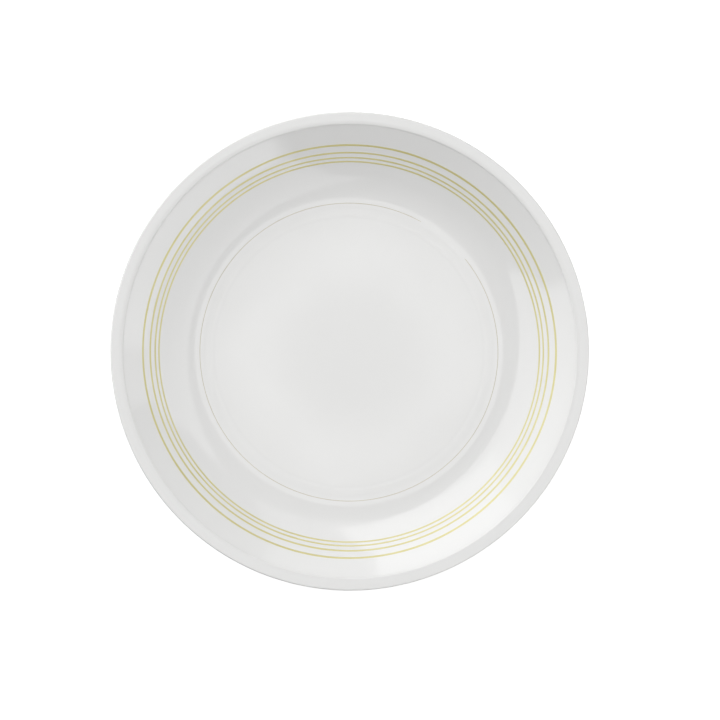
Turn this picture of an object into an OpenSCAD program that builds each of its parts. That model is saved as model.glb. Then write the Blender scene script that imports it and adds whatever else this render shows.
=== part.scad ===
// A round china dinner plate. One outline, traced as straight runs and arcs, gives the fired porcelain body,
// the glaze that covers it and the thin gold lines that lie on the glaze.
// The origin is the centre of the table plane that the foot ring stands on, with +Z up.

/* [Plate] */
// Diameter across the rim
plate_d = 270; // [266:1:290]
// Diameter of the level part of the well
well_d = 162; // [160.5:0.5:164]
// Diameter of the well's verge, where the cove starts
verge_d = 174; // [170:1:175]
// Slope of the verge, in degrees
verge_slope = 4.5; // [3:0.5:5]
// Height of the eating surface above the table
floor_z = 6.9; // [6.6:0.1:8]
// Thickness of the porcelain and its glaze under the well
floor_t = 4.1; // [3.6:0.1:4.4]

/* [Wall] */
// Thickness of the wall, glaze and all
wall_t = 3.8; // [3.2:0.1:4]
// Radius of the cove that turns the well up into the wall
cove_r = 39; // [34:1:43]
// Slope at the top of the cove, in degrees
cove_slope = 27; // [22:1:28]
// Radius of the gentler sweep above the cove
sweep_r = 140; // [100:5:150]
// Slope at the top of the sweep, in degrees
sweep_slope = 32.8; // [30:0.2:33]
// Slope of the straight upper wall, in degrees
wall_slope = 35.5; // [34:0.5:37]

/* [Lip] */
// Width of the nearly flat lip, from the top of its riser to the edge
lip_w = 6.4; // [5.6:0.2:8]
// Thickness of the lip
lip_t = 3.4; // [2.8:0.1:3.8]
// Rise of the lip towards the edge, in degrees
lip_slope = 4; // [1:0.5:6]
// Steepest slope of the small riser between the wall and the lip, in degrees
riser_slope = 60; // [50:1:64]

/* [Well step] */
// Diameter of the flat middle of the well, inside the shallow step
middle_d = 152.6; // [140:0.2:154]
// Height of the shallow step
step_h = 0.16; // [0.1:0.02:0.3]
// Slope of the shallow step, in degrees
step_slope = 5; // [4:0.5:6]

/* [Foot ring] */
// Diameter of the foot ring, at the middle of its flat bottom
foot_d = 162; // [156:1:163]
// Width of the flat bottom of the foot ring
foot_w = 2.2; // [1.6:0.1:3]
// Height up to which the foot ring is wiped bare of glaze
bare_h = 0.9; // [0.8:0.05:1.2]

/* [Glaze] */
// Thickness of the glaze
glaze_t = 0.3; // [0.2:0.05:0.4]

/* [Gold lines] */
// Diameter of the outer gold line
line_outer_d = 233.8; // [232:0.1:236]
// Diameter of the second gold line
line_second_d = 225.7; // [224.4:0.1:227]
// Diameter of the third gold line
line_third_d = 220.2; // [219.4:0.1:221]
// Diameter of the inner gold line
line_inner_d = 216; // [214:0.1:216.8]
// Diameter of the hairline at the edge of the well
hairline_d = 169.8; // [168.6:0.1:171]
// Width of the outer gold line
line_outer_w = 1.05; // [0.6:0.05:1.2]
// Width of the second gold line
line_second_w = 0.95; // [0.6:0.05:1.2]
// Width of the third gold line
line_third_w = 0.85; // [0.6:0.05:1.2]
// Width of the inner gold line
line_inner_w = 0.85; // [0.6:0.05:1.2]
// Width of the hairline
hairline_w = 0.3; // [0.2:0.05:0.5]
// Thickness of the gold
gold_t = 0.1; // [0.08:0.01:0.15]

/* [Hidden] */

$fn = 180;

bisque_color = [0.95, 0.93, 0.88];
glaze_color = [0.93, 0.93, 0.92];
gold_color = [0.83, 0.76, 0.46];

// How far an arc's short straight pieces may stand off the true arc
chord_error = 0.015;
// Radius of the hollow at the foot of the shallow step, and of the round at its top
step_foot_r = 14;
step_top_r = 8;
// Radius of the hollow where the verge leaves the level part of the well
verge_r = 30;
// Radius that softens the crease between the sweep and the straight wall
crease_r = 20;
// Radius of the hollow at the foot of the lip's riser, and of the round at its top
riser_foot_r = 1.5;
riser_top_r = 1.2;
// The lip leaves the riser at this slope, and eases to its own on this radius
shoulder_slope = 12;
shoulder_r = 18;
// Rounds of the lip's edge, above and below
edge_top_r = 0.9;
edge_under_r = 1.4;
// Radius of the hollow between the back of the wall and the underside of the lip
underlip_r = 4;
// Slope of the back where it meets the foot ring
back_slope = 6;
// The foot ring's sides lean this far off upright, with these rounds
foot_draft = 8;
foot_edge_r = 0.8;
foot_outer_hollow_r = 2.5;
foot_inner_hollow_r = 1.2;

plate_r = plate_d / 2;
well_r = well_d / 2;
middle_r = middle_d / 2;
foot_r = foot_d / 2;
recess_z = floor_z - floor_t;

// A place on the outline is [x, z, heading]. The outline runs with the porcelain on its right,
// and its headings are in degrees.
function last(list) = list[len(list) - 1];

// The places along an arc from s to the new heading. It turns left if that is the larger heading.
function arc_leg(s, radius, heading) =
    let (
        turn = heading - s[2],
        signed_r = sign(turn) * radius,
        steps = ceil(abs(turn) / (2 * acos(1 - chord_error / radius))),
        centre = [s[0] - signed_r * sin(s[2]), s[1] + signed_r * cos(s[2])]
    )
    [for (i = [1:steps]) let (h = s[2] + turn * i / steps)
        [centre[0] + signed_r * sin(h), centre[1] - signed_r * cos(h), h]];

// The place straight ahead of s that is x from the axis, or z above the table.
function run_leg(s, x) = [[x, s[1] + (x - s[0]) * tan(s[2]), s[2]]];
function climb_leg(s, z) = [[s[0] + (z - s[1]) / tan(s[2]), z, s[2]]];

// A move is ["arc", radius, heading], ["run", x] or ["climb", z].
function leg(s, move) =
    move[0] == "arc" ? arc_leg(s, move[1], move[2]) :
    move[0] == "run" ? run_leg(s, move[1]) :
    climb_leg(s, move[1]);

// All the places passed by starting at s and making the moves in turn.
function trace(s, moves, i = 0) =
    i == len(moves) ? [s] :
    let (places = leg(s, moves[i]))
    concat([s], [for (k = [0:1:len(places) - 2]) places[k]], trace(last(places), moves, i + 1));

// Distance along X that an arc covers between two headings, and the height that it climbs.
function arc_width(radius, from, to) = radius * abs(sin(to) - sin(from));
function arc_height(radius, from, to) = radius * abs(cos(to) - cos(from));

// Where an arc from the straight line through s onto the straight line through t has to begin.
function fillet_x(s, t, radius) =
    let (meet_x = (t[1] - s[1] + s[0] * tan(s[2]) - t[0] * tan(t[2])) / (tan(s[2]) - tan(t[2])))
    meet_x - radius * tan(abs(t[2] - s[2]) / 2) * cos(s[2]);

// A place moved square to the outline, into the porcelain for a depth above zero.
function sunk(s, depth) = [s[0] + depth * sin(s[2]), s[1] - depth * cos(s[2])];
function skin(places, depth) = [for (s = places) sunk(s, depth)];
function reversed(list) = [for (i = [len(list) - 1:-1:0]) list[i]];

// Distance from the axis to the end of the shallow step's straight slope
step_straight_h = step_h - arc_height(step_foot_r + step_top_r, 0, step_slope);
step_end_r = middle_r + arc_width(step_foot_r, 0, step_slope) + step_straight_h / tan(step_slope);

// Distance from the axis to the end of the straight wall, where the riser starts
riser_r = plate_r - lip_w
    - arc_width(riser_foot_r, wall_slope, riser_slope)
    - arc_width(riser_top_r, riser_slope, shoulder_slope);

// Top of the sweep, and the straight wall above it
wall_foot = last(trace([well_r, floor_z + step_h, 0], [
    ["arc", verge_r, verge_slope],
    ["run", verge_d / 2],
    ["arc", cove_r, cove_slope],
    ["arc", sweep_r, sweep_slope],
    ["arc", crease_r, wall_slope]
]));

// Face of the plate: middle, step, ledge, verge, cove, sweep, wall, riser and lip
face = trace([0, floor_z, 0], [
    ["run", middle_r],
    ["arc", step_foot_r, step_slope],
    ["run", step_end_r],
    ["arc", step_top_r, 0],
    ["run", well_r],
    ["arc", verge_r, verge_slope],
    ["run", verge_d / 2],
    ["arc", cove_r, cove_slope],
    ["arc", sweep_r, sweep_slope],
    ["arc", crease_r, wall_slope],
    ["run", riser_r],
    ["arc", riser_foot_r, riser_slope],
    ["arc", riser_top_r, shoulder_slope],
    ["arc", shoulder_r, lip_slope],
    ["run", plate_r - edge_top_r * (1 + sin(lip_slope))]
]);

// Where the lip's underside starts, a lip's thickness square to its face
lip_end = last(face);
under_x = plate_r - edge_under_r * (1 - sin(lip_slope));
under_z = lip_end[1] + (under_x - lip_end[0]) * tan(lip_slope) - lip_t / cos(lip_slope);

// The rounded edge, and the places that the back then has to pass through
edge = trace(lip_end, [
    ["arc", edge_top_r, -90],
    ["climb", under_z + edge_under_r * cos(lip_slope)],
    ["arc", edge_under_r, lip_slope - 180]
]);
wall_back = concat(sunk(wall_foot, wall_t), [wall_slope - 180]);
foot_side = [
    foot_r + foot_w / 2 + arc_width(foot_edge_r, foot_draft - 90, 0),
    foot_edge_r * (1 - sin(foot_draft)),
    -90 - foot_draft
];
cove_back = last(trace(wall_back, [
    ["arc", crease_r + wall_t, sweep_slope - 180],
    ["arc", sweep_r + wall_t, cove_slope - 180],
    ["arc", cove_r + wall_t, back_slope - 180]
]));

// Back of the plate, from the edge in to where the foot ring is wiped bare
back = trace(last(edge), [
    ["run", fillet_x(last(edge), wall_back, underlip_r)],
    ["arc", underlip_r, wall_slope - 180],
    ["run", wall_back[0]],
    ["arc", crease_r + wall_t, sweep_slope - 180],
    ["arc", sweep_r + wall_t, cove_slope - 180],
    ["arc", cove_r + wall_t, back_slope - 180],
    ["run", fillet_x(cove_back, foot_side, foot_outer_hollow_r)],
    ["arc", foot_outer_hollow_r, -90 - foot_draft],
    ["climb", bare_h]
]);

// Bare bottom of the foot ring
bare_foot = trace(last(back), [
    ["climb", foot_side[1]],
    ["arc", foot_edge_r, -180],
    ["run", foot_r - foot_w / 2],
    ["arc", foot_edge_r, foot_draft - 270],
    ["climb", bare_h]
]);

// Recess inside the foot ring, from the bare strip in to the axis
recess = trace(last(bare_foot), [
    ["climb", recess_z - foot_inner_hollow_r * (1 - sin(foot_draft))],
    ["arc", foot_inner_hollow_r, -180],
    ["run", 0]
]);

coated = concat(face, edge, back);

// A layer on the outline, between two depths, turned about the axis.
module layer(places, from, to) {
    polygon(concat(skin(places, from), reversed(skin(places, to))));
}

// A gold line of diameter d on the face.
module gold_line(d, w) {
    color(gold_color)
        rotate_extrude()
            intersection() {
                layer(face, -gold_t, 0);
                translate([d / 2 - w / 2, 0]) square([w, plate_r]);
            }
}

module porcelain_body() {
    color(bisque_color)
        rotate_extrude()
            polygon(concat(skin(coated, glaze_t), skin(bare_foot, 0), skin(recess, glaze_t)));
}

module glaze_coat() {
    color(glaze_color) rotate_extrude() layer(coated, 0, glaze_t);
}

module foot_recess_glaze() {
    color(glaze_color) rotate_extrude() layer(recess, 0, glaze_t);
}

module gold_line_outer() {
    gold_line(line_outer_d, line_outer_w);
}

module gold_line_second() {
    gold_line(line_second_d, line_second_w);
}

module gold_line_third() {
    gold_line(line_third_d, line_third_w);
}

module gold_line_inner() {
    gold_line(line_inner_d, line_inner_w);
}

module well_hairline() {
    gold_line(hairline_d, hairline_w);
}

porcelain_body();
glaze_coat();
foot_recess_glaze();
gold_line_outer();
gold_line_second();
gold_line_third();
gold_line_inner();
well_hairline();
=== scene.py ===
"""China dinner plate: white glaze, a foot ring wiped bare, and gold banding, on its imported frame."""

from math import ceil, cos, pi, radians, sin, tan

import bpy
import numpy as np
from bpy.props import FloatProperty, FloatVectorProperty, IntProperty, PointerProperty
from mathutils import Matrix, Vector


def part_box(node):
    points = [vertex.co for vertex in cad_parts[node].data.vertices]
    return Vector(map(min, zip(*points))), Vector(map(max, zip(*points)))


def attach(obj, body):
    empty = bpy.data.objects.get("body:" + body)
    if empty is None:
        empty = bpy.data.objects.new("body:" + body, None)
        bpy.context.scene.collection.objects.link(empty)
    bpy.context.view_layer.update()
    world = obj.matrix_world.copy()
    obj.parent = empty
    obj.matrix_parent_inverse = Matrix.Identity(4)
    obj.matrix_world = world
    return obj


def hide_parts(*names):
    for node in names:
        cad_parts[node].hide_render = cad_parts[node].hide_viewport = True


bl_info = {
    "name": "China Dinner Plate",
    "version": (1, 0, 0),
    "blender": (4, 5, 0),
    "location": "3D View > Sidebar > Plate",
    "description": "Builds a glazed china dinner plate with gold banding on its packed frame",
    "category": "Object",
}

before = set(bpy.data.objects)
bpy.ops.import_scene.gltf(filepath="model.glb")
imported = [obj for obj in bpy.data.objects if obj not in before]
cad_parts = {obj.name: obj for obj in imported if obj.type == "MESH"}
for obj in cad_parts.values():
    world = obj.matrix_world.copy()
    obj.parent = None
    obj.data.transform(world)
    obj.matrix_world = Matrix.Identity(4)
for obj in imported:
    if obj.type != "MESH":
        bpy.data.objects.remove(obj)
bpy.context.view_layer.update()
GLAZE_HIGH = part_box("glaze_coat")[1]
BODY = "root"
MM = 0.001


def reach(node):
    """Least and greatest distance of a CAD node's points from the plate's axis."""
    points = np.array([v.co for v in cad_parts[node].data.vertices])
    from_axis = np.hypot(points[:, 0], points[:, 1])
    return float(from_axis.min()), float(from_axis.max())


# Properties

def length(name, description, default):
    """A length property, kept in metres."""
    return FloatProperty(
        name=name, description=description, default=default, min=0,
        precision=5, subtype="DISTANCE", unit="LENGTH",
    )


def angle(name, description, degrees):
    """An angle property, given in degrees and kept in radians."""
    return FloatProperty(
        name=name, description=description, default=radians(degrees), subtype="ANGLE", unit="ROTATION"
    )


def share(name, description, default):
    """A property from nothing to one."""
    return FloatProperty(name=name, description=description, default=default, min=0, max=1, subtype="FACTOR")


def colour(name, description, default):
    """A linear colour property."""
    return FloatVectorProperty(
        name=name, description=description, default=default, size=3, min=0, max=1, subtype="COLOR"
    )


class PlateSizes(bpy.types.PropertyGroup):
    """Sizes of the porcelain and its glaze"""

    rim_r: length("Rim radius", "From the axis to the plate's edge", GLAZE_HIGH.x)
    floor_z: length("Eating surface", "Height of the middle of the well above the table", 6.9 * MM)
    floor_t: length("Floor thickness", "Porcelain and glaze under the well", 4.1 * MM)
    wall_t: length("Wall thickness", "Porcelain and glaze in the wall", 3.8 * MM)
    middle_r: length("Middle radius", "From the axis to the shallow step", 76.3 * MM)
    step_h: length("Step height", "Height of the shallow step", 0.16 * MM)
    step_slope: angle("Step slope", "Steepest slope of the shallow step", 5)
    step_foot_r: length("Step hollow", "Radius of the hollow at the foot of the step", 14 * MM)
    step_top_r: length("Step round", "Radius of the round at the top of the step", 8 * MM)
    well_r: length("Well radius", "From the axis to the edge of the level part of the well", 81 * MM)
    verge_curve_r: length("Verge curve", "Radius of the hollow between well and verge", 30 * MM)
    verge_r: length("Verge radius", "From the axis to where the cove starts", 87 * MM)
    verge_slope: angle("Verge slope", "Slope of the verge", 4.5)
    cove_r: length("Cove radius", "Radius of the curve from verge to wall", 39 * MM)
    cove_slope: angle("Cove slope", "Slope at the top of the cove", 27)
    sweep_r: length("Sweep radius", "Radius of the gentler curve above the cove", 140 * MM)
    sweep_slope: angle("Sweep slope", "Slope at the top of the sweep", 32.8)
    crease_r: length("Crease radius", "Radius between the sweep and the straight wall", 20 * MM)
    wall_slope: angle("Wall slope", "Slope of the straight upper wall", 35.5)
    riser_slope: angle("Riser slope", "Steepest slope between wall and lip", 60)
    riser_foot_r: length("Riser hollow", "Radius of the hollow at the foot of the riser", 1.5 * MM)
    riser_top_r: length("Riser round", "Radius of the round at the top of the riser", 1.2 * MM)
    shoulder_slope: angle("Shoulder slope", "Slope of the lip where it leaves the riser", 12)
    shoulder_r: length("Shoulder radius", "Radius on which the lip eases to its own slope", 18 * MM)
    lip_w: length("Lip width", "From the top of the riser to the edge", 6.4 * MM)
    lip_t: length("Lip thickness", "Thickness of the lip", 3.4 * MM)
    edge_top_r: length("Edge round", "Radius of the lip's edge on top", 0.9 * MM)
    edge_under_r: length("Under edge round", "Radius of the lip's edge below", 1.4 * MM)
    lip_slope: angle("Lip slope", "Rise of the lip towards the edge", 4)
    underlip_r: length("Underlip radius", "Radius of the hollow under the lip", 4 * MM)
    back_slope: angle("Back slope", "Slope of the back where it meets the foot ring", 6)
    foot_r: length("Foot radius", "From the axis to the middle of the foot ring", 81 * MM)
    foot_w: length("Foot width", "Flat width of the foot ring's bottom", 2.2 * MM)
    foot_draft: angle("Foot draft", "Lean of the foot ring's sides", 8)
    foot_edge_r: length("Foot edge", "Radius of the foot ring's bottom edges", 0.8 * MM)
    foot_outer_r: length("Outer foot hollow", "Radius of the hollow outside the foot ring", 2.5 * MM)
    foot_inner_r: length("Inner foot hollow", "Radius of the hollow inside the foot ring", 1.2 * MM)
    bare_h: length("Bare height", "Height up to which the foot ring is wiped bare", 0.9 * MM)
    glaze_t: length("Glaze thickness", "Thickness of the glaze", 0.3 * MM)
    bond: length("Bond", "How far the porcelain reaches into the glaze, so that no gap shows", 0.04 * MM)
    wipe_wave: length("Wiped line wave", "How far the wiped line wanders up", 0.16 * MM)
    warp: length("Firing warp", "How far the rim has sunk in the kiln at its lowest", 0.1 * MM)
    turns: IntProperty(name="Turns", description="Faces round the plate", default=312, min=64, max=316)


class GoldSizes(bpy.types.PropertyGroup):
    """Sizes of the brushed gold lines, whose radii and widths come from the frame"""

    crown: length("Crown", "Height of a line's middle above its edges", 0.055 * MM)
    sunk: length("Sunk", "Depth in the glaze to which a worn stretch of a line sinks", 0.03 * MM)
    wander: length("Wander", "How far a line's middle strays from its circle", 0.05 * MM)
    uneven: share("Uneven width", "How much a line's width varies", 0.07)
    lap: share("Overlap", "How much wider a line is where the brush stroke meets its start", 0.12)
    turns: IntProperty(name="Turns", description="Faces round a line", default=720, min=128, max=1440)


class PlateFinishes(bpy.types.PropertyGroup):
    """Colours and finishes"""

    glaze: colour("Glaze", "White glaze", (0.815, 0.814, 0.806))
    # Painted shade: the glaze takes this darker colour in the hollows of the outline, partly as pooled glaze
    # and partly as shade painted into them
    glaze_pooled_shaded: colour("Pooled glaze", "Glaze where it is a little thicker", (0.80, 0.799, 0.792))
    glaze_rough: share("Glaze roughness", "Roughness of the glaze", 0.08)
    bisque: colour("Bisque", "Bare fired porcelain", (0.80, 0.765, 0.70))
    bisque_rubbed: colour("Rubbed bisque", "Bare porcelain where shelves have rubbed it", (0.66, 0.63, 0.58))
    gold: colour("Gold", "Pale gold", (0.66, 0.60, 0.25))
    gold_thin: colour("Thin gold", "Gold where the brush left less", (0.72, 0.67, 0.37))
    hairline: colour("Hairline", "Worn gold of the hairline", (0.50, 0.45, 0.32))
    hairline_thin: colour("Thin hairline", "Hairline where it has nearly gone", (0.62, 0.59, 0.48))
    gold_rough: share("Gold roughness", "Roughness of the gold", 0.5)


class StageSettings(bpy.types.PropertyGroup):
    """Camera, floor and light"""

    distance: length("Camera distance", "From the camera to the rim", 2.0)
    lens: FloatProperty(
        name="Lens", description="Focal length on a 36 mm sensor", default=177.3, subtype="DISTANCE_CAMERA"
    )
    aim: FloatVectorProperty(
        name="Aim", description="Point in the middle of the view", default=(0.0056, -0.0051, 0.0273),
        subtype="TRANSLATION", unit="LENGTH"
    )
    lean: FloatVectorProperty(
        name="Lean", description="Direction from the aim to the camera", default=(-0.0296, -0.0255, 1),
        subtype="DIRECTION"
    )
    floor_size: length("Floor size", "Side of the floor", 30.0)
    floor: colour("Floor", "Pale floor", (0.8, 0.8, 0.8))
    floor_glow: share("Floor glow", "How much paler the floor looks by the plate than its colour", 0.6)
    far_glow: share("Far floor glow", "The same away from the plate, where the lights don't reach", 1.0)
    glow_start: length("Glow start", "From the plate's axis to where the far glow begins to grow", 0.4)
    glow_end: length("Glow end", "From the plate's axis to where the far glow is whole", 1.2)
    sky: share("Room brightness", "Brightness of the room around the lights", 0.06)
    ring_watts: FloatProperty(
        name="Ring light", description="Power of the whole ring light in watts", default=0.25
    )
    dome_r: length("Dome radius", "From the plate to each light", 1.5)


# Shapes

# A place on the outline is [distance from the axis, height, heading]. The outline runs with the plate on its
# right. These are the longest steps along an arc, a straight run, the foot ring's bottom and a climb.
ARC_STEP = radians(3)
RUN_STEP = 5 * MM
FOOT_STEP = 0.6 * MM
CLIMB_STEP = 0.3 * MM
# Where round the plate the warp is deepest, as twice the angle
WARP_TURN = 1.1
# The glaze wanders with the wiped line up to this height over it, in thicknesses of glaze
WIPE_FADE = 6
# The bare porcelain starts to sink at this share of its height, and at the wiped line it lies this share of
# the glaze's thickness under the glaze's surface
SINK_START, SINK_END = 0.1, 0.6


def arc(s, radius, heading):
    """Places on an arc from s: its centre, plus the radius square to each heading up to the new one."""
    turn = heading - s[2]
    side = radius if turn > 0 else -radius
    steps = max(2, ceil(abs(turn) / ARC_STEP))
    h = s[2] + turn * np.arange(1, steps + 1) / steps
    x = s[0] + side * (np.sin(h) - sin(s[2]))
    z = s[1] + side * (cos(s[2]) - np.cos(h))
    return np.column_stack([x, z, h])


def run(s, x, step=RUN_STEP):
    """Places straight ahead of s to x from the axis, spaced as half a cosine: closest at both ends."""
    steps = max(1, ceil(abs(x - s[0]) / step))
    along = (x - s[0]) * (1 - np.cos(pi * np.arange(1, steps + 1) / steps)) / 2
    return np.column_stack([s[0] + along, s[1] + along * tan(s[2]), np.full(steps, s[2])])


def climb(s, z):
    """Places straight ahead of s, evenly spaced up or down to height z."""
    steps = max(1, ceil(abs(z - s[1]) / CLIMB_STEP))
    rise = (z - s[1]) * np.arange(1, steps + 1) / steps
    return np.column_stack([s[0] + rise / tan(s[2]), s[1] + rise, np.full(steps, s[2])])


def trace(start, *moves):
    """All the places from start on, each move carrying on from the last place of the one before."""
    legs = [np.array([start], float)]
    for move, *to in moves:
        legs.append(move(legs[-1][-1], *to))
    return np.vstack(legs)


def sunk(places, depth):
    """The places moved square to their headings, into the plate by a depth."""
    x, z, h = np.asarray(places, float).T
    return np.column_stack([x + depth * np.sin(h), z - depth * np.cos(h), h])


def arc_width(radius, start, end):
    """Distance across that an arc covers between two headings."""
    return radius * abs(sin(end) - sin(start))


def fillet_x(s, t, radius):
    """Where an arc from the straight line through s onto the one through t has to begin."""
    meet_x = (t[1] - s[1] + s[0] * tan(s[2]) - t[0] * tan(t[2])) / (tan(s[2]) - tan(t[2]))
    return meet_x - radius * tan(abs(t[2] - s[2]) / 2) * cos(s[2])


def plate_face(p):
    """The eating side as runs and arcs: middle, step, ledge, verge, cove, sweep, wall, riser and lip."""
    round_h = (p.step_foot_r + p.step_top_r) * (1 - cos(p.step_slope))
    step_run = (p.step_h - round_h) / tan(p.step_slope)
    step_end = p.middle_r + arc_width(p.step_foot_r, 0, p.step_slope) + step_run
    riser_r = (
        p.rim_r - p.lip_w
        - arc_width(p.riser_foot_r, p.wall_slope, p.riser_slope)
        - arc_width(p.riser_top_r, p.riser_slope, p.shoulder_slope)
    )
    wall_foot = trace(
        (p.well_r, p.floor_z + p.step_h, 0),
        (arc, p.verge_curve_r, p.verge_slope),
        (run, p.verge_r),
        (arc, p.cove_r, p.cove_slope),
        (arc, p.sweep_r, p.sweep_slope),
        (arc, p.crease_r, p.wall_slope),
    )
    inner = trace(
        (0, p.floor_z, 0),
        (run, p.middle_r),
        (arc, p.step_foot_r, p.step_slope),
        (run, step_end),
        (arc, p.step_top_r, 0),
        (run, p.well_r),
    )
    upper = trace(
        wall_foot[-1],
        (run, riser_r),
        (arc, p.riser_foot_r, p.riser_slope),
        (arc, p.riser_top_r, p.shoulder_slope),
        (arc, p.shoulder_r, p.lip_slope),
        (run, p.rim_r - p.edge_top_r * (1 + sin(p.lip_slope))),
    )
    return np.vstack([inner, wall_foot[1:], upper[1:]]), wall_foot[-1]


def plate_edge(p, lip_end):
    """The lip's edge: a round, a short upright and a round onto the underside, a lip's thickness below."""
    under_x = p.rim_r - p.edge_under_r * (1 - sin(p.lip_slope))
    under_z = lip_end[1] + (under_x - lip_end[0]) * tan(p.lip_slope) - p.lip_t / cos(p.lip_slope)
    return trace(
        lip_end,
        (arc, p.edge_top_r, -pi / 2),
        (climb, under_z + p.edge_under_r * cos(p.lip_slope)),
        (arc, p.edge_under_r, p.lip_slope - pi),
    )


def foot_side(p):
    """The place low on the foot ring's outer side where its bottom edge starts to round."""
    across = p.foot_r + p.foot_w / 2 + arc_width(p.foot_edge_r, p.foot_draft - pi / 2, 0)
    return across, p.foot_edge_r * (1 - sin(p.foot_draft)), -pi / 2 - p.foot_draft


def plate_back(p, edge_end, wall_foot, bare_z):
    """The back as runs and arcs: under the lip, wall, cove, and down the foot ring's side to a height."""
    wall_back = sunk([wall_foot], p.wall_t)[0]
    wall_back[2] = p.wall_slope - pi
    curves = (
        (arc, p.crease_r + p.wall_t, p.sweep_slope - pi),
        (arc, p.sweep_r + p.wall_t, p.cove_slope - pi),
        (arc, p.cove_r + p.wall_t, p.back_slope - pi),
    )
    cove_back = trace(wall_back, *curves)[-1]
    return trace(
        edge_end,
        (run, fillet_x(edge_end, wall_back, p.underlip_r)),
        (arc, p.underlip_r, p.wall_slope - pi),
        (run, wall_back[0]),
        *curves,
        (run, fillet_x(cove_back, foot_side(p), p.foot_outer_r)),
        (arc, p.foot_outer_r, -pi / 2 - p.foot_draft),
        (climb, bare_z),
    )


def plate_foot(p, start):
    """The bare bottom of the foot ring: down its outer side, round, flat, round and up its inner side."""
    return trace(
        start,
        (climb, foot_side(p)[1]),
        (arc, p.foot_edge_r, -pi),
        (run, p.foot_r - p.foot_w / 2, FOOT_STEP),
        (arc, p.foot_edge_r, p.foot_draft - 1.5 * pi),
        (climb, p.bare_h),
    )


def plate_recess(p, start):
    """The recess inside the foot ring: up its inner side, round a hollow and straight in to the axis."""
    ceiling = p.floor_z - p.floor_t
    return trace(
        start,
        (climb, ceiling - p.foot_inner_r * (1 - sin(p.foot_draft))),
        (arc, p.foot_inner_r, -pi),
        (run, 0),
    )


def waves(phi, counts, starts):
    """The mean of sines, one for each count of waves round the plate with its start."""
    return np.mean([np.sin(n * phi + start) for n, start in zip(counts, starts)], axis=0)


def smooth_step(low, high, value):
    """Zero up to low, one from high on, and between them three times t squared less twice its cube."""
    t = np.clip((value - low) / (high - low), 0, 1)
    return t * t * (3 - 2 * t)


def kiln_warp(p, x, z, phi):
    """Heights after firing: from the foot ring out, the rim sinks by the cosine of twice the angle."""
    saddle = 0.5 + 0.5 * np.cos(2 * phi - WARP_TURN)
    return z - p.warp * saddle * smooth_step(p.foot_r, p.rim_r, x)


def make_object(name, points, faces, normals=None):
    """A mesh object at the origin with smooth faces, from points and faces as whole arrays."""
    mesh = bpy.data.meshes.new(name)
    mesh.from_pydata(points.tolist(), [], faces)
    mesh.polygons.foreach_set("use_smooth", np.ones(len(mesh.polygons), bool))
    mesh.update()
    if mesh.validate():
        raise RuntimeError(f"{name}: the mesh has faults")
    if normals is not None:
        mesh.normals_split_custom_set_from_vertices(normals.tolist())
    piece = bpy.data.objects.new(name, mesh)
    bpy.context.scene.collection.objects.link(piece)
    return piece


def add_point_values(piece, name, values):
    """A number for each point of the piece's mesh, for its material to read."""
    attribute = piece.data.attributes.new(name, "FLOAT", "POINT")
    attribute.data.foreach_set("value", values.astype(np.float32))


def lathe(name, p, places, line=None):
    """The outline turned about the axis: a place at angle phi is (x cos phi, x sin phi, z), and its normal is
    square to its heading. The outline starts and ends on the axis, where each end is a single point. What
    line gives for an angle lifts the places near the wiped line. The second result is a function that turns
    one value for each place into one for each point."""
    turns = p.turns
    phi = 2 * pi * np.arange(turns) / turns
    x, z, h = places[:, :1], places[:, 1:2], places[:, 2:]
    height = kiln_warp(p, x, z, phi)
    if line is not None:
        near = 1 - smooth_step(p.bare_h + p.glaze_t, p.bare_h + WIPE_FADE * p.glaze_t, z)
        height = height + near * line(phi)
    ring = np.stack([x * np.cos(phi), x * np.sin(phi), height], axis=-1)
    lean = np.stack([-np.sin(h) * np.cos(phi), -np.sin(h) * np.sin(phi), np.cos(h) + 0 * phi], axis=-1)

    def joined(grid):
        """The first and last rows as one point each, and the others whole."""
        return np.vstack([grid[0, :1], grid[1:-1].reshape(-1, 3), grid[-1, :1]])

    rows = len(places) - 2
    j = np.arange(turns)
    after = (j + 1) % turns
    start = 1 + turns * np.arange(rows - 1)[:, None]
    corners = [start + j, start + turns + j, start + turns + after, start + after]
    quads = np.stack(corners, axis=-1).reshape(-1, 4)
    last_row, last_point = 1 + turns * (rows - 1), 1 + turns * rows
    hub = np.stack([0 * j, 1 + j, 1 + after], axis=-1)
    cap = np.stack([last_row + j, 0 * j + last_point, last_row + after], axis=-1)
    faces = quads.tolist() + hub.tolist() + cap.tolist()

    def per_point(values):
        """The first and last values once, and each of the others for every point of its ring."""
        return np.concatenate([values[:1], np.repeat(values[1:-1], turns), values[-1:]])

    return make_object(name, joined(ring), faces, joined(lean)), per_point


# Faces across a line's top
BAND_FACES = 16
# The brush stroke's overlap fades over this angle each way
LAP_ANGLE = radians(2.5)
# Depth in the glaze of a line's edges and of its underside, as shares of the depth to which wear sinks it
SIDE_DEPTH, UNDER_DEPTH = 0.2, 1.2
# Half the width of the underside, as a share of the line's half width
UNDER_WIDTH = 0.8


def swell_at(phi, middle, width):
    """A bell curve round the plate: e to the minus square of the angle from its middle over a width."""
    return np.exp(-((np.angle(np.exp(1j * (phi - middle))) / width) ** 2))


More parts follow.
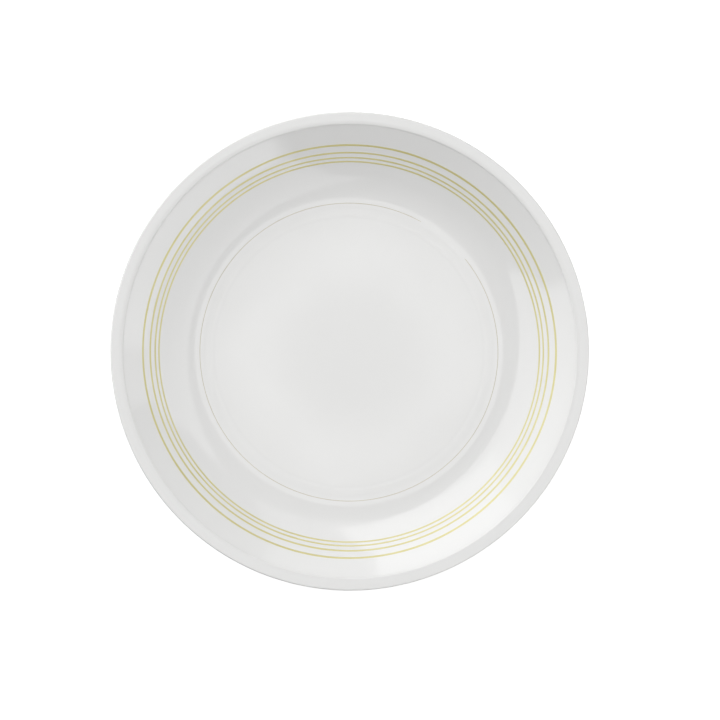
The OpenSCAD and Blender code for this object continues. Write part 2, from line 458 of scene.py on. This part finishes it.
def gold_band(name, p, g, face, middle_r, width, seed, worn=None):
    """A line brushed on the turning plate. Across it the top is the crown times one less the fourth power of
    the distance from its middle, on the face's own slope. Round it the middle and the width stray as sums of
    sines, and it sinks into the glaze where it is worn."""
    phi = 2 * pi * np.arange(g.turns) / g.turns
    starts = seed * np.array([1.0, 2.3, 3.1, 4.7])
    middle = middle_r + g.wander * waves(phi, (2, 3, 7, 12), starts)
    uneven = 1 + g.uneven * waves(phi, (5, 11, 23, 41), starts + 1)
    lap = 1 + g.lap * swell_at(phi, seed, LAP_ANGLE)
    across = -np.cos(pi * np.arange(BAND_FACES + 1) / BAND_FACES)[:, None]
    top = g.crown * (1 - across**4) - SIDE_DEPTH * g.sunk
    if worn is not None:
        top = np.maximum(top - (g.crown + g.sunk) * worn(phi), -g.sunk)
    bottom = np.array([[UNDER_WIDTH], [0.0], [-UNDER_WIDTH]])
    across = np.vstack([across, bottom])
    lift = np.vstack([top + 0 * phi, 0 * bottom - UNDER_DEPTH * g.sunk + 0 * phi])
    x = middle + across * (width / 2) * uneven * lap
    face_z = np.interp(x, face[:, 0], face[:, 1])
    face_h = np.interp(x, face[:, 0], face[:, 2])
    z = kiln_warp(p, x, face_z, phi) + lift * np.cos(face_h)
    x = x - lift * np.sin(face_h)
    points = np.stack([x * np.cos(phi), x * np.sin(phi), z], axis=-1).reshape(-1, 3)
    rows, turns = len(across), g.turns
    i, j = np.meshgrid(np.arange(rows), np.arange(turns), indexing="ij")
    after_i, after_j = (i + 1) % rows, (j + 1) % turns
    quads = np.stack(
        [i * turns + j, after_i * turns + j, after_i * turns + after_j, i * turns + after_j], axis=-1
    ).reshape(-1, 4)
    piece = make_object(name, points, quads.tolist())
    round_uv = np.stack([j, j, j + 1, j + 1], axis=-1) / turns
    across_uv = np.stack([i, i + 1, i + 1, i], axis=-1) / rows
    uv = np.stack([round_uv, across_uv], axis=-1).reshape(-1)
    piece.data.uv_layers.new(name="Brushed").data.foreach_set("uv", uv.astype(np.float32))
    return piece


# The hairline's worn stretch: the angle of its middle, and the width of its bell curve
WORN_AT, WORN_WIDTH = radians(50), radians(18)
# Wear in the patches round the plate, beside one in the worn stretch
PATCH_WEAR = 0.35


def hairline_wear(phi):
    """How worn the hairline is: wholly along one stretch, and by the patches' wear where waves are high."""
    stretch = smooth_step(0.55, 0.8, swell_at(phi, WORN_AT, WORN_WIDTH))
    return stretch + PATCH_WEAR * smooth_step(0.3, 0.8, waves(phi, (4, 9, 13), (0.2, 1.1, 3.0)))


# Materials

def add_node(tree, kind, inputs, **settings):
    """A shader node with its settings, and each input either set to a value or joined to an output."""
    made = tree.nodes.new("ShaderNode" + kind)
    for name, value in settings.items():
        setattr(made, name, value)
    for name, value in inputs.items():
        if isinstance(value, bpy.types.NodeSocket):
            tree.links.new(value, made.inputs[name])
        else:
            made.inputs[name].default_value = value
    return made


def new_finish(name, **sockets):
    """A material whose Principled shader has these constant sockets."""
    material = bpy.data.materials.new(name)
    material.use_nodes = True
    tree = material.node_tree
    shader = tree.nodes["Principled BSDF"]
    for socket, value in sockets.items():
        shader.inputs[socket.replace("_", " ")].default_value = value
    return material, tree, shader


def noise(tree, where, scale, detail):
    """Noise of a scale in features a metre, or in those of its own map, and a detail in octaves."""
    inputs = {"Vector": where, "Scale": scale, "Detail": detail}
    return add_node(tree, "TexNoise", inputs).outputs["Fac"]


def spread(tree, value, low, high):
    """The value of a noise, which lies mostly from 0.3 to 0.7, stretched to run from low to high."""
    return add_node(
        tree, "MapRange", {"Value": value, "From Min": 0.3, "From Max": 0.7, "To Min": low, "To Max": high}
    ).outputs["Result"]


# Places of a Mix node's colour sockets, which share their names with its other sockets
MIX_A, MIX_B, MIX_RESULT = 6, 7, 2


def blend_colours(tree, amount, a, b):
    """A mix of two colours by an amount."""
    made = add_node(tree, "Mix", {"Factor": amount}, data_type="RGBA")
    made.inputs[MIX_A].default_value = (*a, 1)
    made.inputs[MIX_B].default_value = (*b, 1)
    return made.outputs[MIX_RESULT]


def bump(tree, height, depth, below=None):
    """Bumps of a depth in metres, on top of those below."""
    inputs = {"Height": height, "Distance": depth, "Strength": 1.0}
    if below is not None:
        inputs["Normal"] = below
    return add_node(tree, "Bump", inputs).outputs["Normal"]


# How far the mottle alone takes the glaze towards its darker colour, that of pooled glaze and painted shade
# in the hollows
MOTTLE = 0.35


def glaze_finish(f):
    """White glaze: a clear gloss with a faint orange peel, and turning lines on the back."""
    material, tree, shader = new_finish("White glaze", IOR=1.5)
    where = add_node(tree, "TexCoord", {}).outputs["Object"]
    mottle = spread(tree, noise(tree, where, scale=26, detail=4), low=0, high=1)
    # Painted shade: the glaze is darker in the outline's hollows, partly pooled glaze and partly shade
    # painted in
    shaded_pool = add_node(tree, "Attribute", {}, attribute_name="shaded_pool").outputs["Fac"]
    mottle_pool_shade = add_node(tree, "Math", {0: mottle, 1: MOTTLE, 2: shaded_pool}, operation="MULTIPLY_ADD", use_clamp=True)
    tree.links.new(blend_colours(tree, mottle_pool_shade.outputs[0], f.glaze, f.glaze_pooled_shaded), shader.inputs["Base Color"])
    rough = spread(tree, noise(tree, where, scale=70, detail=3), 0.8 * f.glaze_rough, 1.2 * f.glaze_rough)
    tree.links.new(rough, shader.inputs["Roughness"])
    swell = bump(tree, noise(tree, where, scale=55, detail=1), depth=0.03 * MM)
    peel = bump(tree, noise(tree, where, scale=420, detail=2), depth=0.006 * MM, below=swell)
    rings = add_node(
        tree, "TexWave", {"Vector": where, "Scale": 95, "Distortion": 1.2, "Detail": 2, "Detail Scale": 0.6},
        wave_type="RINGS", rings_direction="Z",
    ).outputs["Fac"]
    underside = add_node(tree, "Attribute", {}, attribute_name="underside").outputs["Fac"]
    turned = add_node(tree, "Math", {0: rings, 1: underside}, operation="MULTIPLY").outputs[0]
    tree.links.new(bump(tree, turned, depth=0.012 * MM, below=peel), shader.inputs["Normal"])
    return material


def bisque_finish(f):
    """Bare porcelain: matt and fine grained, with grey rub marks."""
    material, tree, shader = new_finish("Bisque porcelain", IOR=1.45, Roughness=0.85)
    where = add_node(tree, "TexCoord", {}).outputs["Object"]
    rubs = spread(tree, noise(tree, where, scale=160, detail=5), low=-0.5, high=0.9)
    tree.links.new(blend_colours(tree, rubs, f.bisque, f.bisque_rubbed), shader.inputs["Base Color"])
    grit = bump(tree, noise(tree, where, scale=3200, detail=3), depth=0.03 * MM)
    lumps = bump(tree, noise(tree, where, scale=500, detail=3), depth=0.05 * MM, below=grit)
    tree.links.new(lumps, shader.inputs["Normal"])
    return material


def gold_finish(f, name, full, thinned):
    """Brushed gold: streaks along the line, thinner and paler where the brush ran dry."""
    material, tree, shader = new_finish(name, Metallic=0.15, IOR=2.0)
    uv = add_node(tree, "UVMap", {}, uv_map="Brushed").outputs["UV"]
    along = add_node(tree, "Mapping", {"Vector": uv, "Scale": (90, 6, 1)}).outputs["Vector"]
    streaks = noise(tree, along, scale=1, detail=3)
    where = add_node(tree, "TexCoord", {}).outputs["Object"]
    dry = spread(tree, noise(tree, where, scale=45, detail=3), low=-0.4, high=0.8)
    thin = add_node(tree, "Math", {0: streaks, 1: dry}, operation="MULTIPLY", use_clamp=True).outputs[0]
    tree.links.new(blend_colours(tree, thin, full, thinned), shader.inputs["Base Color"])
    rough = spread(tree, streaks, 0.85 * f.gold_rough, 1.15 * f.gold_rough)
    tree.links.new(rough, shader.inputs["Roughness"])
    tree.links.new(bump(tree, streaks, depth=0.01 * MM), shader.inputs["Normal"])
    return material


# Operators

def dress(piece, material, slot, *nodes):
    """The piece gets its material, rides on the plate's body and stands for its CAD nodes."""
    piece.data.materials.append(material)
    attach(piece, BODY)
    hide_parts(*nodes)


def outlines(p):
    """The parts of the outline: face, round edge, back, bare foot and recess."""
    face, wall_foot = plate_face(p)
    edge = plate_edge(p, face[-1])
    back = plate_back(p, edge[-1], wall_foot, p.bare_h)
    foot = plate_foot(p, back[-1])
    return face, edge, back, foot, plate_recess(p, foot[-1])


def hollow_shading(places):
    """One where the outline turns left, as glaze pools there and shade is painted into the hollow, faded
    along it by a bell of a few places.
    """
    turning = np.gradient(places[:, 2]) > 0
    bell = np.hanning(7)
    return smooth_step(0.3, 1, np.convolve(turning, bell / bell.sum(), mode="same"))


def rolled_height(p):
    """Height on the foot ring's side where the glaze starts to roll in to the wiped line."""
    return p.bare_h + p.glaze_t * cos(p.foot_draft)


def wiped_line(p, counts, starts):
    """The function of angle for how far the wiped line wanders up, from nothing to the whole wave."""
    return lambda phi: p.wipe_wave * (0.5 + 0.5 * waves(phi, counts, starts))


class PLATE_OT_glaze(bpy.types.Operator):
    """Turns the glaze on the face, the edge and the back, down to the wiped line on the foot ring"""

    bl_idname = "plate.glaze"
    bl_label = "Glaze"

    def execute(self, context):
        p = context.scene.plate_sizes
        face, wall_foot = plate_face(p)
        edge = plate_edge(p, face[-1])
        back = plate_back(p, edge[-1], wall_foot, rolled_height(p))
        rolled = trace(back[-1], (arc, p.glaze_t, back[-1][2] - pi / 2))
        outer = np.vstack([face, edge[1:], back[1:]])
        inner = sunk(outer, p.glaze_t)[::-1][::2]
        inner[:, 2] += pi
        places = np.vstack([outer, rolled[1:], inner[1:]])
        line = wiped_line(p, counts=(3, 8, 19, 37), starts=(0.4, 1.9, 2.2, 5.1))
        piece, per_point = lathe("glazed_plate", p, places, line)
        under = np.zeros(len(places))
        under[len(face) + len(edge) : len(outer)] = 1
        add_point_values(piece, "underside", per_point(under))
        # The hollows get the darker glaze: pooled glaze and painted shade
        add_point_values(piece, "shaded_pool", per_point(hollow_shading(places)))
        dress(piece, glaze_finish(context.scene.plate_finishes), "white_glaze", "glaze_coat")
        return {"FINISHED"}


class PLATE_OT_recess(bpy.types.Operator):
    """Turns the glaze inside the foot ring"""

    bl_idname = "plate.recess"
    bl_label = "Recess glaze"

    def execute(self, context):
        p = context.scene.plate_sizes
        recess = outlines(p)[-1]
        shown = recess[recess[:, 1] > rolled_height(p)]
        shown = np.vstack([climb(recess[0], rolled_height(p))[-1:], shown])
        inner = sunk(shown, p.glaze_t)[::-1]
        inner[0, 0] = 0
        inner[:, 2] += pi
        x, z, h = shown[0]
        rolled = trace((x, z, h - pi), (arc, p.glaze_t, h - pi / 2))[::-1]
        rolled[:, 2] += pi
        places = np.vstack([inner, rolled[:-1], shown])
        line = wiped_line(p, counts=(4, 9, 17, 31), starts=(1.4, 0.3, 4.2, 2.1))
        piece, per_point = lathe("recess_glaze", p, places, line)
        add_point_values(piece, "underside", np.ones(len(piece.data.vertices)))
        # The hollows get the darker glaze: pooled glaze and painted shade
        add_point_values(piece, "shaded_pool", per_point(hollow_shading(places)))
        material = bpy.data.materials.get("White glaze") or glaze_finish(context.scene.plate_finishes)
        dress(piece, material, "white_glaze", "foot_recess_glaze")
        return {"FINISHED"}


class PLATE_OT_porcelain(bpy.types.Operator):
    """Turns the fired body under the glaze, which shows as the bare bottom of the foot ring"""

    bl_idname = "plate.porcelain"
    bl_label = "Porcelain body"

    def execute(self, context):
        p = context.scene.plate_sizes
        face, edge, back, foot, recess = outlines(p)
        covered = sunk(np.vstack([face, edge[1:], back[1:]]), p.glaze_t - p.bond)
        bare_depth = SINK_END * p.glaze_t * smooth_step(SINK_START * p.bare_h, p.bare_h, foot[:, 1])
        ceiling = sunk(recess, p.glaze_t - p.bond)
        ceiling[-1, 0] = 0
        places = np.vstack([covered[::2], sunk(foot, bare_depth), ceiling[1:]])
        piece, _ = lathe("porcelain_foot", p, places)
        dress(piece, bisque_finish(context.scene.plate_finishes), "bisque_porcelain", "porcelain_body")
        return {"FINISHED"}


class PLATE_OT_gold(bpy.types.Operator):
    """Brushes the four gold lines on the wall and the hairline at the edge of the well"""

    bl_idname = "plate.gold"
    bl_label = "Gold lines"

    def execute(self, context):
        p, g, f = context.scene.plate_sizes, context.scene.gold_sizes, context.scene.plate_finishes
        face = plate_face(p)[0]
        face = face[np.append(True, np.diff(face[:, 0]) > 0)]
        material = gold_finish(f, "Pale gold", f.gold, f.gold_thin)
        # Angle round the plate where each line's brush stroke starts, which also sets how it strays
        starts = {
            "gold_line_outer": 0.7, "gold_line_second": 2.9, "gold_line_third": 4.4, "gold_line_inner": 5.6,
        }
        for node, seed in starts.items():
            near, far = reach(node)
            piece = gold_band("brushed_" + node, p, g, face, (near + far) / 2, far - near, seed)
            dress(piece, material, "pale_gold", node)
        near, far = reach("well_hairline")
        hairline = gold_band(
            "brushed_hairline", p, g, face, (near + far) / 2, far - near, seed=1.8, worn=hairline_wear
        )
        worn_gold = gold_finish(f, "Worn gold", f.hairline, f.hairline_thin)
        dress(hairline, worn_gold, "pale_gold", "well_hairline")
        return {"FINISHED"}


# Each softbox: bearing clockwise from the top of the view and angle from straight up in degrees, width and
# depth in metres, power in watts
SOFTBOXES = (
    ("Overhead", 49, 2, 0.2, 0.2, 0.1),
    ("Key", 305, 57, 3.0, 1.7, 30),
    ("Fill", 115, 42, 2.4, 1.4, 13.5),
    ("Top", 350, 55, 1.8, 1.2, 6),
    ("Edge", 125, 76, 2.0, 0.9, 7),
)
# The ring light: how many lamps, their diameter in metres, and their angle from its middle
RING_LAMPS = 8
RING_LAMP_SIZE = 0.1
RING_ANGLE = radians(4.5)
# Width of the camera's sensor in millimetres, and how far it sees in metres
SENSOR_WIDTH = 36
SIGHT = 100


class PLATE_OT_stage(bpy.types.Operator):
    """Lays the floor and sets up the lights and the camera"""

    bl_idname = "plate.stage"
    bl_label = "Stage"

    def execute(self, context):
        s = context.scene.stage_settings
        self.lay_floor(s)
        for softbox in SOFTBOXES:
            self.hang_softbox(s, *softbox)
        self.hang_ring_light(s)
        self.light_room(context, s)
        self.place_camera(context, s)
        context.scene.view_settings.view_transform = "Standard"
        return {"FINISHED"}

    def lay_floor(self, s):
        """A flat square at table height, which glows to the camera alone, and more so further out."""
        half = s.floor_size / 2
        corners = np.array([[-half, -half, 0], [half, -half, 0], [half, half, 0], [-half, half, 0]])
        floor = make_object("floor", corners, [[0, 1, 2, 3]])
        material, tree, shader = new_finish(
            "Floor", Base_Color=(*s.floor, 1), Roughness=1.0, Specular_IOR_Level=0.0,
            Emission_Color=(1, 1, 1, 1),
        )
        where = add_node(tree, "TexCoord", {}).outputs["Object"]
        far = add_node(tree, "VectorMath", {"Vector": where}, operation="LENGTH").outputs["Value"]
        glow = add_node(tree, "MapRange", {
            "Value": far, "From Min": s.glow_start, "From Max": s.glow_end,
            "To Min": s.floor_glow, "To Max": s.far_glow,
        }).outputs["Result"]
        seen = add_node(tree, "LightPath", {}).outputs["Is Camera Ray"]
        shown = add_node(tree, "Math", {0: glow, 1: seen}, operation="MULTIPLY").outputs[0]
        tree.links.new(shown, shader.inputs["Emission Strength"])
        floor.data.materials.append(material)

    def hang_softbox(self, s, name, bearing, zenith, width, depth, watts):
        """A soft rectangular light on the dome, facing the plate."""
        lamp = bpy.data.lights.new(name, "AREA")
        lamp.shape = "RECTANGLE"
        lamp.size, lamp.size_y, lamp.energy = width, depth, watts
        bearing, zenith = radians(bearing), radians(zenith)
        out = Vector((sin(zenith) * sin(bearing), sin(zenith) * cos(bearing), cos(zenith)))
        self.place_light(s, lamp, out)

    def hang_ring_light(self, s):
        """Small round lights in a circle about the point that the level well mirrors to the camera."""
        middle = Vector((-s.lean[0], -s.lean[1], s.lean[2])).normalized()
        side = middle.cross(Vector((0, 1, 0))).normalized()
        for k in range(RING_LAMPS):
            turn = 2 * pi * k / RING_LAMPS
            out = middle + tan(RING_ANGLE) * (cos(turn) * side + sin(turn) * middle.cross(side))
            lamp = bpy.data.lights.new(f"Ring {k}", "AREA")
            lamp.shape, lamp.size, lamp.energy = "DISK", RING_LAMP_SIZE, s.ring_watts / RING_LAMPS
            self.place_light(s, lamp, out.normalized())

    def place_light(self, s, lamp, out):
        """A light on the dome that faces the plate and isn't seen itself."""
        light = bpy.data.objects.new(lamp.name, lamp)
        light.location = out * s.dome_r
        light.rotation_euler = out.to_track_quat("Z", "Y").to_euler()
        light.visible_camera = False
        bpy.context.scene.collection.objects.link(light)

    def light_room(self, context, s):
        """A room that is white to the camera, and dimmer as a source of light."""
        world = bpy.data.worlds.new("Room")
        world.use_nodes = True
        tree = world.node_tree
        seen = add_node(tree, "LightPath", {}).outputs["Is Camera Ray"]
        strengths = {"Value": seen, "To Min": s.sky, "To Max": 1.0}
        brightness = add_node(tree, "MapRange", strengths).outputs["Result"]
        tree.links.new(brightness, tree.nodes["Background"].inputs["Strength"])
        tree.nodes["Background"].inputs["Color"].default_value = (1, 1, 1, 1)
        context.scene.world = world

    def place_camera(self, context, s):
        """A long lens almost straight above the plate, with +Y up in the view."""
        back = Vector(s.lean).normalized()
        up = (Vector((0, 1, 0)) - back * back.y).normalized()
        right = up.cross(back)
        camera = bpy.data.objects.new("Camera", bpy.data.cameras.new("Camera"))
        camera.data.lens, camera.data.sensor_width = s.lens, SENSOR_WIDTH
        camera.data.clip_end = SIGHT
        place = Matrix((right, up, back)).transposed().to_4x4()
        place.translation = Vector(s.aim) + back * s.distance
        camera.matrix_world = place
        context.scene.collection.objects.link(camera)
        context.scene.camera = camera


OPERATORS = (PLATE_OT_glaze, PLATE_OT_recess, PLATE_OT_porcelain, PLATE_OT_gold, PLATE_OT_stage)


class PLATE_PT_panel(bpy.types.Panel):
    """Buttons that build the plate piece by piece"""

    bl_idname = "PLATE_PT_panel"
    bl_label = "China Dinner Plate"
    bl_space_type = "VIEW_3D"
    bl_region_type = "UI"
    bl_category = "Plate"

    def draw(self, context):
        for operator in OPERATORS:
            self.layout.operator(operator.bl_idname)


GROUPS = {
    "plate_sizes": PlateSizes,
    "gold_sizes": GoldSizes,
    "plate_finishes": PlateFinishes,
    "stage_settings": StageSettings,
}


def register():
    """Makes the classes known, and hangs each group of settings on the scene."""
    for kind in (*GROUPS.values(), *OPERATORS, PLATE_PT_panel):
        bpy.utils.register_class(kind)
    for name, kind in GROUPS.items():
        setattr(bpy.types.Scene, name, PointerProperty(type=kind))


def unregister():
    """Takes back what register has done, in the opposite order."""
    for name in GROUPS:
        delattr(bpy.types.Scene, name)
    for kind in (PLATE_PT_panel, *reversed(OPERATORS), *reversed(GROUPS.values())):
        bpy.utils.unregister_class(kind)


def main():
    """Builds every piece and the stage."""
    register()
    bpy.ops.plate.glaze()
    bpy.ops.plate.recess()
    bpy.ops.plate.porcelain()
    bpy.ops.plate.gold()
    bpy.ops.plate.stage()


if __name__ == "__main__":
    main()
